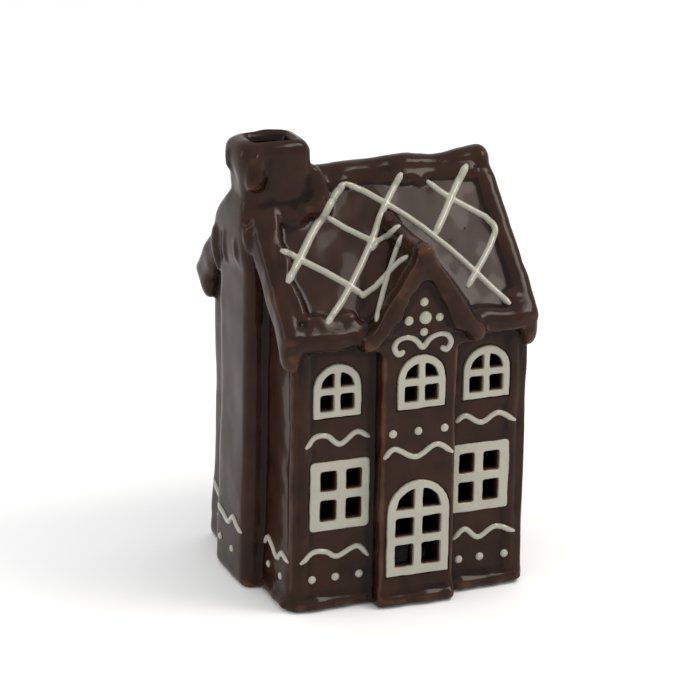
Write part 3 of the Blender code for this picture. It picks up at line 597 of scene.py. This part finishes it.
# Each window: its middle, its base, its arch if it has one, the face of its wall, and its panes
for name, middle, base, size, face, panes in (
    ("upper_left", -30.5, 74.1, SMALL_ARCH, FRONT, ARCH_PANES),
    ("upper_right", 30.5, 74.6, SMALL_ARCH, FRONT, ARCH_PANES),
    ("bay_window", 0.6, 76.6, SMALL_ARCH, BAY_FRONT, ARCH_PANES),
    ("door", 0.5, 9.2, DOOR_ARCH, BAY_FRONT, DOOR_PANES),
    ("lower_left", -29.0, 28.8, None, FRONT, LEFT_PANES),
    ("lower_right", 29.0, 28.8, None, FRONT, RIGHT_PANES),
):
    if size:
        outline = arch(middle, base, *size)
        groove = arch(middle, base - 0.6, size[0] + 2 * GROOVE, size[1] + 2 * GROOVE, 20)
        cutters.append(punch(f"groove_{name}", groove, face - 3, face + GROOVE_DEPTH))
    else:
        across = (middle - SQUARE_HALF, middle + SQUARE_HALF)
        outline = soft_rectangle(*across, base, base + SQUARE_HEIGHT, SQUARE_SOFT)
    windows.append((name, middle, base, outline, face, panes))
    for i, shape in enumerate(pane_set(middle, base, *panes)):
        cutters.append(punch(f"pane_{name}_{i}", shape, face - 5, face + THROUGH))

# The hollow: a room with its roof space, the same in the bay, and the flue with its flared mouth
ROOM_LEFT, ROOM_RIGHT, ROOM_DEEP = -42.4, 41.4, 39.3
BAY_HALF, BAY_NEAR, BAY_FAR = 11, -46.3, -28
FLUE = (-49.8, -35.8, -7.8, 3.2)
HOLE_RADIUS = 25
room = block("room", (ROOM_LEFT, -ROOM_DEEP, 0.8), (ROOM_RIGHT, ROOM_DEEP, 105))
attic = block("attic", (ROOM_LEFT, -ROOM_DEEP, 105), (ROOM_RIGHT, ROOM_DEEP, 146.4))
pinch_top(attic, y=0.01)
bay_room = block("bay_room", (MID - BAY_HALF, BAY_NEAR, 1.2), (MID + BAY_HALF, BAY_FAR, 113))
bay_attic = block("bay_attic", (MID - BAY_HALF, BAY_NEAR, 113), (MID + BAY_HALF, BAY_FAR, 130))
pinch_top(bay_attic, x=0.02)
flue_levels = (
    (118, *FLUE),
    (168.5, *FLUE),
    (171, -50.3, -35.3, -8.2, 3.6),
    (172.6, -51.2, -34.4, -9, 4.4),
    (173.8, -52.8, -33, -10.4, 5.8),
    (177, -57, -29, -14, 9),
)
flue = levelled("flue", flue_levels, 2.6)
bpy.ops.mesh.primitive_cylinder_add(
    vertices=64, radius=HOLE_RADIUS * MM, depth=16 * MM, location=place(0, 0, -1)
)
floor_hole = bpy.context.object
bpy.ops.object.transform_apply(location=True, rotation=True, scale=True)
pinhole_y = -21.8
pinhole = lump((29.8, pinhole_y, roof_z(pinhole_y) + 0.2), (0.55, 0.55, 0.7))
cutters += [room, attic, bay_room, bay_attic, flue, floor_hole, pinhole]
for cutter in cutters:
    modifier = body.modifiers.new(cutter.name, "BOOLEAN")
    modifier.object = cutter
    modifier.operation = "DIFFERENCE"
    modifier.solver = "MANIFOLD"
only(body)
bpy.ops.object.convert(target="MESH")
for cutter in cutters:
    bpy.data.objects.remove(cutter)


# Inside the house the colour is painted shade: the room, the bay and the flue take the glaze's darkest
# colour, up to the bare edge of each pane, where thin glaze shows
SKIN = 0.4
FRAME_WIDTH = 1.6
# One mark paints shade inside the house; the other marks the thin glaze at the pane edges
PAINTED_SHADE_MARK, BARE_MARK = -0.8, 0.9
marks = body.data.attributes["stands_out_and_shade"].data
for vertex, mark in zip(body.data.vertices, marks):
    x, y, z = vertex.co / MM - HOUSE
    in_room = ROOM_LEFT - SKIN < x < ROOM_RIGHT + SKIN and abs(y) < ROOM_DEEP + SKIN
    in_room = in_room and 0.5 < z < 149 - 1.03 * abs(y)
    in_bay = abs(x - MID) < BAY_HALF + SKIN and BAY_NEAR - SKIN < y < BAY_FAR + SKIN
    in_bay = in_bay and 1 < z < 132 - 1.5 * abs(x - MID)
    in_flue = FLUE[0] - 0.6 < x < FLUE[1] + 0.6 and FLUE[2] - 0.6 < y < FLUE[3] + 0.6
    in_flue = in_flue and 110 < z < 172
    if in_room or in_bay or in_flue:
        # painted shade: every inside surface gets the darkest glaze colour
        mark.value = PAINTED_SHADE_MARK
    elif y < FRONT + 2:
        for name, middle, base, outline, face, _ in windows:
            half = max(a for a, _ in outline) - middle - FRAME_WIDTH
            top = max(b for _, b in outline) - FRAME_WIDTH
            arched = not name.startswith("lower") and z > top - half
            round_top = hypot(x - middle, z - top + half) < half
            if abs(x - middle) < half and base + 1.4 < z < top and y > face - 1.2:
                if round_top or not arched:
                    mark.value = BARE_MARK
only(body)
bpy.ops.object.shade_smooth_by_angle(angle=radians(40))


def socket_in(group, name, kind, value):
    """An input of a node group, with its starting value."""
    socket = group.interface.new_socket(name=name, in_out="INPUT", socket_type=kind)
    socket.default_value = value


def wire(tree, pairs):
    """Links outputs to inputs: ((node, output), (node, input))."""
    for (a, out), (b, into) in pairs:
        tree.links.new(a.outputs[out], b.inputs[into])


def glaze_group():
    """Glaze that thins to a warmer colour on what stands out, pools darker in hollows and mottles; its
    darkest colour is also the painted shade on points marked as inside.
    """
    group = bpy.data.node_groups.new("glaze_flow", "ShaderNodeTree")
    socket_in(group, "Glaze", "NodeSocketColor", (0.03, 0.012, 0.008, 1))
    socket_in(group, "Thin", "NodeSocketColor", (0.1, 0.05, 0.03, 1))
    socket_in(group, "Pooled And Shade", "NodeSocketColor", (0.01, 0.005, 0.003, 1))
    socket_in(group, "Break At", "NodeSocketFloat", 0.25)
    socket_in(group, "Ripple", "NodeSocketFloat", 0.2)
    socket_in(group, "Mottle", "NodeSocketFloat", 1)
    for name, kind in (("Color", "NodeSocketColor"), ("Height", "NodeSocketFloat")):
        group.interface.new_socket(name=name, in_out="OUTPUT", socket_type=kind)
    nodes = group.nodes
    given, result = nodes.new("NodeGroupInput"), nodes.new("NodeGroupOutput")
    where = nodes.new("ShaderNodeTexCoord")
    stands = nodes.new("ShaderNodeAttribute")
    stands.attribute_name = "stands_out_and_shade"
    flow = nodes.new("ShaderNodeTexNoise")
    flow.inputs["Scale"].default_value = 90
    flow.inputs["Detail"].default_value = 3
    broken = nodes.new("ShaderNodeMath")
    broken.operation = "MULTIPLY_ADD"
    broken.inputs[1].default_value = 0.3
    edge = nodes.new("ShaderNodeMapRange")
    edge.interpolation_type = "SMOOTHSTEP"
    edge.inputs["From Max"].default_value = 0.75
    shifted = nodes.new("ShaderNodeMath")
    shifted.operation = "SUBTRACT"
    shifted.inputs[1].default_value = 0.15
    # Darkens hollows as pooled glaze, and darkens the deepest marks, set inside the house, as painted
    # shade
    pool_and_shade = nodes.new("ShaderNodeMapRange")
    pool_and_shade.interpolation_type = "SMOOTHSTEP"
    pool_and_shade.inputs["From Min"].default_value = -0.03
    pool_and_shade.inputs["From Max"].default_value = -0.3
    thinner = nodes.new("ShaderNodeMix")
    thinner.data_type = "RGBA"
    deeper = nodes.new("ShaderNodeMix")
    deeper.data_type = "RGBA"
    broad = nodes.new("ShaderNodeTexNoise")
    broad.inputs["Scale"].default_value = 28
    broad.inputs["Detail"].default_value = 2
    mottle = nodes.new("ShaderNodeMapRange")
    mottle.inputs["From Min"].default_value = 0.3
    mottle.inputs["From Max"].default_value = 0.7
    mottle.inputs["To Min"].default_value = 0.6
    mottle.inputs["To Max"].default_value = 1.38
    tone = nodes.new("ShaderNodeMix")
    tone.data_type = "RGBA"
    tone.blend_type = "MULTIPLY"
    swell = nodes.new("ShaderNodeMath")
    swell.operation = "MULTIPLY"
    wire(
        group,
        (
            ((where, "Object"), (flow, "Vector")),
            ((where, "Object"), (broad, "Vector")),
            ((flow, "Fac"), (broken, 0)),
            ((stands, "Fac"), (broken, 2)),
            ((broken, 0), (shifted, 0)),
            ((shifted, 0), (edge, "Value")),
            ((given, "Break At"), (edge, "From Min")),
            ((shifted, 0), (pool_and_shade, "Value")),
            ((given, "Glaze"), (thinner, 6)),
            ((given, "Thin"), (thinner, 7)),
            ((edge, "Result"), (thinner, 0)),
            ((thinner, 2), (deeper, 6)),
            ((given, "Pooled And Shade"), (deeper, 7)),
            ((pool_and_shade, "Result"), (deeper, 0)),
            ((flow, "Fac"), (mottle, "Value")),
            ((deeper, 2), (tone, 6)),
            ((mottle, "Result"), (tone, 7)),
            ((given, "Mottle"), (tone, 0)),
            ((tone, 2), (result, "Color")),
            ((broad, "Fac"), (swell, 0)),
            ((given, "Ripple"), (swell, 1)),
            ((swell, 0), (result, "Height")),
        ),
    )
    return group


glaze_flow = glaze_group()


def glazed(name, glaze, thin, pooled_and_shade, break_at, ripple, mottle, roughness, coat):
    """A glossy glaze: the flow group drives its colour and its slight ripple."""
    material = bpy.data.materials.new(name)
    material.use_nodes = True
    nodes = material.node_tree.nodes
    shader = nodes["Principled BSDF"]
    flow = nodes.new("ShaderNodeGroup")
    flow.node_tree = glaze_flow
    flow.inputs["Glaze"].default_value = (*glaze, 1)
    flow.inputs["Thin"].default_value = (*thin, 1)
    flow.inputs["Pooled And Shade"].default_value = (*pooled_and_shade, 1)
    flow.inputs["Break At"].default_value = break_at
    flow.inputs["Ripple"].default_value = ripple
    flow.inputs["Mottle"].default_value = mottle
    bump = nodes.new("ShaderNodeBump")
    bump.inputs["Distance"].default_value = 1 * MM
    bump.inputs["Strength"].default_value = 1
    wire(
        material.node_tree,
        (
            ((flow, "Color"), (shader, "Base Color")),
            ((flow, "Height"), (bump, "Height")),
            ((bump, "Normal"), (shader, "Normal")),
        ),
    )
    shader.inputs["Roughness"].default_value = roughness
    shader.inputs["IOR"].default_value = 1.4
    shader.inputs["Specular IOR Level"].default_value = 0.06
    shader.inputs["Coat Weight"].default_value = coat
    shader.inputs["Coat Roughness"].default_value = 0.06
    return material


brown_glaze = glazed(
    "brown_glaze",
    glaze=(0.0245, 0.0103, 0.0053),
    thin=(0.075, 0.034, 0.019),
    # the pooled colour also serves as the painted shade inside the house
    pooled_and_shade=(0.0085, 0.0034, 0.0018),
    break_at=0.3,
    ripple=0.25,
    mottle=0.7,
    roughness=0.22,
    coat=0.17,
)
body.data.materials.clear()
body.data.materials.append(brown_glaze)
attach(body, "root")
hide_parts("ceramic_house")


# Window frames and door
# Flat plates of thick white glaze with soft edges stand a little proud of the wall. Their panes
# are a touch larger than the holes in the clay, so a thin brown edge shows inside each.
white_glaze = glazed(
    "white_glaze",
    glaze=(0.335, 0.32, 0.264),
    thin=(0.315, 0.28, 0.222),
    pooled_and_shade=(0.23, 0.195, 0.15),
    break_at=0.1,
    ripple=0.3,
    mottle=0.15,
    roughness=0.3,
    coat=0.9,
)


def whiten(piece, rounds=6):
    """Gives a finished white piece its glaze and its calls."""
    mark_edges(piece, rounds)
    only(piece)
    bpy.ops.object.shade_smooth()
    piece.data.materials.clear()
    piece.data.materials.append(white_glaze)
    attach(piece, "root")
    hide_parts("ceramic_house")


for name, middle, base, outline, face, panes in windows:
    plate = punch(name, outline, face - 0.75, face + 1.6)
    for i, shape in enumerate(pane_set(middle, base, *panes, grow=0.3)):
        hole = punch(f"hole_{i}", shape, face - 4, face + 5)
        finish_with(plate, "BOOLEAN", object=hole, operation="DIFFERENCE", solver="EXACT")
        bpy.data.objects.remove(hole)
    finish_with(plate, "REMESH", mode="VOXEL", voxel_size=0.26 * MM)
    finish_with(plate, "SMOOTH", factor=0.5, iterations=5)
    uneven(plate, 5, 0.5)
    whiten(plate)


# Piped lines and dots
# White lines and dots of thick glaze are piped on the walls: waves between the storeys and above
# the base, two curls under the small gable, and dots. They lie on the brown glaze.
body_tree = BVHTree.FromObject(body, bpy.context.evaluated_depsgraph_get())


def on_surface(point, toward, sink):
    """The spot on the brown body that lies from this point in this direction, a little under."""
    start = place(*point)
    toward = Vector(toward).normalized()
    hit = body_tree.ray_cast(start - toward * 12 * MM, toward, 30 * MM)[0]
    spot = hit if hit is not None else start
    return (spot + toward * sink * MM) / MM - HOUSE


def piped(name, points, toward, radius, sink=0.15, ends=0.55):
    """A piped line through the points, laid on the surface in this direction."""
    laid = [on_surface(point, toward, sink) for point in points]
    radii = [radius] * len(points)
    radii[0] = radii[-1] = radius * ends
    return cord(name, laid, radii, resolution=10, sides=4)


def curve_through(points, steps=3):
    """More points on a smooth curve through these."""
    points = [Vector(p) for p in points]
    ends = [2 * points[0] - points[1]] + points + [2 * points[-1] - points[-2]]
    path = []
    for a, b, c, d in zip(ends, ends[1:], ends[2:], ends[3:]):
        for i in range(steps):
            t = i / steps
            path.append(
                0.5 * (2 * b + (c - a) * t + (2 * a - 5 * b + 4 * c - d) * t**2)
                + 0.5 * (3 * b - a - 3 * c + d) * t**3
            )
    return path + [points[-1]]


INWARD = {"front": (0, 1, 0), "left": (1, 0, 0), "right": (-1, 0, 0), "back": (0, -1, 0)}
waves = []


def wave(name, points, wall, radius=1.15):
    """A wavy line on a wall. Its points are (x, z) on the front and back, (y, z) on the sides."""
    depth = {"front": FRONT - 1, "left": LEFT - 8, "right": RIGHT + 4, "back": BACK + 1}[wall]
    if wall in ("front", "back"):
        path = [(a, depth, z) for a, z in points]
    else:
        path = [(depth, a, z) for a, z in points]
    waves.append(piped(name, curve_through(path), INWARD[wall], radius))


upper_left = ((-43.3, 63), (-39.2, 66.9), (-34.2, 66.8), (-29.1, 63.1), (-22.4, 67.2), (-17, 64.5))
upper_right = ((18.3, 65.8), (22.5, 68), (29, 64.7), (35.9, 67.8), (43.3, 63.9))
lower_left = ((-45, 16.6), (-39.2, 20.4), (-34, 19.9), (-29.5, 17.6), (-21.5, 20.7), (-16.6, 16.1))
lower_right = ((18.4, 17.7), (23.3, 21.5), (29.1, 17.4), (36.3, 20.9), (44.7, 17.9))
wave("wave_upper_left", upper_left, "front")
wave("wave_upper_right", upper_right, "front")
wave("wave_lower_left", lower_left, "front")
wave("wave_lower_right", lower_right, "front")
wave("wave_bay", ((-14, 57.4), (-9.8, 61), (-1, 57), (7.5, 61), (14.5, 56.7)), "front")
side_front = ((-17.4, 15.8), (-20.2, 19.2), (-25, 17.5), (-30.9, 14.9), (-35.1, 18.3), (-42.5, 17.1))
breast = ((14.1, 21.6), (7.1, 20), (1.4, 18.6), (-3.4, 22.3), (-7.6, 20.8), (-12.6, 18.8))
wave("wave_side_front", side_front, "left")
wave("wave_breast", breast, "left")
wave("wave_side_rear", ((20, 17), (25, 21), (31.5, 17), (40.5, 20.6)), "left")
wave("wave_right_side", [(-37.5 + 9.4 * i, 21 if i % 2 else 17) for i in range(9)], "right")
wave("wave_back", [(38 - 9.5 * i, 21 if i % 2 else 17) for i in range(9)], "back")
for side, name in ((-1, "curl_left"), (1, "curl_right")):
    stem = ((0, 99.7), (2.8, 103.6), (6.6, 105.3), (10, 104.4), (11.5, 101.6))
    hook = ((9.8, 98.7), (7.3, 99.9))
    wave(name, [(0.7 + side * x, z) for x, z in stem + hook], "front", 1.2)

dots = [("front", x, 9.2, 1.7) for x in (-39.7, -30.1, -20.4, 21.1, 30, 40.4)]
dots += [("front", x, 67.2, 1.7) for x in (-10.6, -0.2, 10.6)]
gable = ((0.3, 118.8, 1.8), (0.9, 112.6, 2.6), (-5.8, 112, 1.9), (6.6, 112.3, 1.7), (0.5, 107, 1.7))
dots += [("front", x, z, r) for x, z, r in gable]
dots += [("left", y - 43.5, 9.2, 1.5) for y in (7.8, 20.6, 40, 53.8, 75)]
dots += [("right", -37.5 + 18.8 * i, 9.2, 1.5) for i in range(5)]
dots += [("back", 37.5 - 18.8 * i, 9.2, 1.5) for i in range(5)]
for wall, along, height, radius in dots:
    toward = Vector(INWARD[wall])
    middle = Vector((along, 0, height)) if wall in ("front", "back") else Vector((0, along, height))
    spot = body_tree.ray_cast(place(*(middle - toward * 75)), toward)[0] / MM - HOUSE
    flattened = [radius * (0.62 if abs(part) > 0.5 else 1) for part in toward]
    waves.append(lump(spot, flattened))

icing = joined("wall_icing", waves)
finish_with(icing, "REMESH", mode="VOXEL", voxel_size=0.3 * MM)
finish_with(icing, "SMOOTH", factor=0.5, iterations=3)
whiten(icing)


# Lattice on the roof
# Crossing lines of white glaze are piped over both slopes and over the small roof's left side.
# They run into one another where they cross.

# Each line of the main slope has its radius and its points (x, y)
MAIN_LATTICE = (
    (1.7, (-13.5, -5.2), (-18.4, -8.4), (-24.5, -13.6), (-28.9, -16.6), (-32.9, -19.9),
     (-36.6, -23.3), (-39.1, -25.6), (-43.5, -29.2), (-46.5, -32.2)),
    (1.4, (-13.5, -5.2), (-6.2, -8.5), (0.7, -12.4), (7.1, -16.4), (12.8, -20.4), (16.2, -23.3),
     (20.5, -26.8), (25, -31), (28.8, -34.8), (33.7, -39.9), (39.1, -45)),
    (1.35, (-24.7, -14.3), (-18.2, -18.3), (-11.3, -21.7), (-7.1, -23.3)),
    (1.5, (-45.9, -22.6), (-42.5, -24.1), (-39.2, -26), (-30.8, -30.2), (-23.4, -34.4),
     (-18.4, -37.8)),
    (1.45, (10.7, -4), (6.6, -7.3), (0.7, -12.4), (-3.1, -16.2), (-6.8, -20.4), (-10.1, -23.8),
     (-15.8, -29.2), (-21.9, -34.5), (-27.7, -39.1), (-35.7, -44.7)),
    (1.6, (38.1, -3.4), (32.2, -8.4), (27.9, -12.4), (22.8, -17.4), (16.7, -22.9)),
    (1.4, (19.7, -6.9), (23.6, -10.2), (28.1, -13.2), (34.1, -16.4), (39.3, -19.2), (41.7, -21.7),
     (41.7, -23.7), (37.3, -28.1), (33.1, -31.5), (28.8, -34.8), (23.5, -38.9)),
)
SMALL_ROOF_LATTICE = (
    ((-7.1, -18.4, 129.4), (-4.6, -17.5, 132.3), (-2, -22.5, 136.4), (0.9, -26.3, 141)),
    ((-18.4, -37.8, 118.8), (-15.1, -29.7, 116), (-12.3, -34.6, 120.4), (-8.2, -37.9, 126.7),
     (-5.1, -41, 131.6), (-3.1, -44.5, 134.7)),
    ((-0.4, -31.8, 139), (-4, -34.7, 133.3), (-8.1, -38.2, 126.9), (-12.5, -42.9, 120),
     (-17.6, -49.4, 112)),
)
FINE = 1.35


def densely(points, gap=2.5):
    """Straight runs through the points, with a point every few millimetres."""
    points = [Vector(p) for p in points]
    path = [points[0]]
    for a, b in zip(points, points[1:]):
        count = max(1, round((b - a).length / gap))
        path += [a.lerp(b, (i + 1) / count) for i in range(count)]
    return path


strands = []
LAID = (0.376, 0.88, -0.292)  # down and back over the front slope
for i, (radius, *line) in enumerate(MAIN_LATTICE):
    path = [(x, y, roof_z(y)) for x, y in line]
    strands.append(piped(f"lattice_{i}", densely(path), LAID, radius, 0.3))
for i, line in enumerate(SMALL_ROOF_LATTICE):
    strands.append(piped(f"lattice_small_{i}", densely(line), LAID, FINE, 0.3))

# The rear slope has a regular lattice: where it starts and ends up the slope, how far it reaches
# to each side, and how far apart its lines are
low, high, edge, gap = 5, 53, 41, 25
DOWN_REAR = (0, -0.726, -0.688)
for lean in (1, -1):
    for i in range(6):
        start = lean * (-edge - (high - low) + 12 + i * gap)
        first = max(low, low + lean * (-lean * edge - start))
        final = min(high, low + lean * (lean * edge - start))
        if final - first > 6:
            path = []
            for climb in (first, final):
                y = 43.5 - (climb + 0.9) * cos(PITCH)
                path.append((start + lean * (climb - low), y, roof_z(y)))
            strands.append(piped(f"lattice_back_{i}", densely(path), DOWN_REAR, FINE, 0.3))
lattice = joined("roof_lattice", strands)
finish_with(lattice, "REMESH", mode="VOXEL", voxel_size=0.35 * MM)
finish_with(lattice, "SMOOTH", factor=0.5, iterations=3)
whiten(lattice)
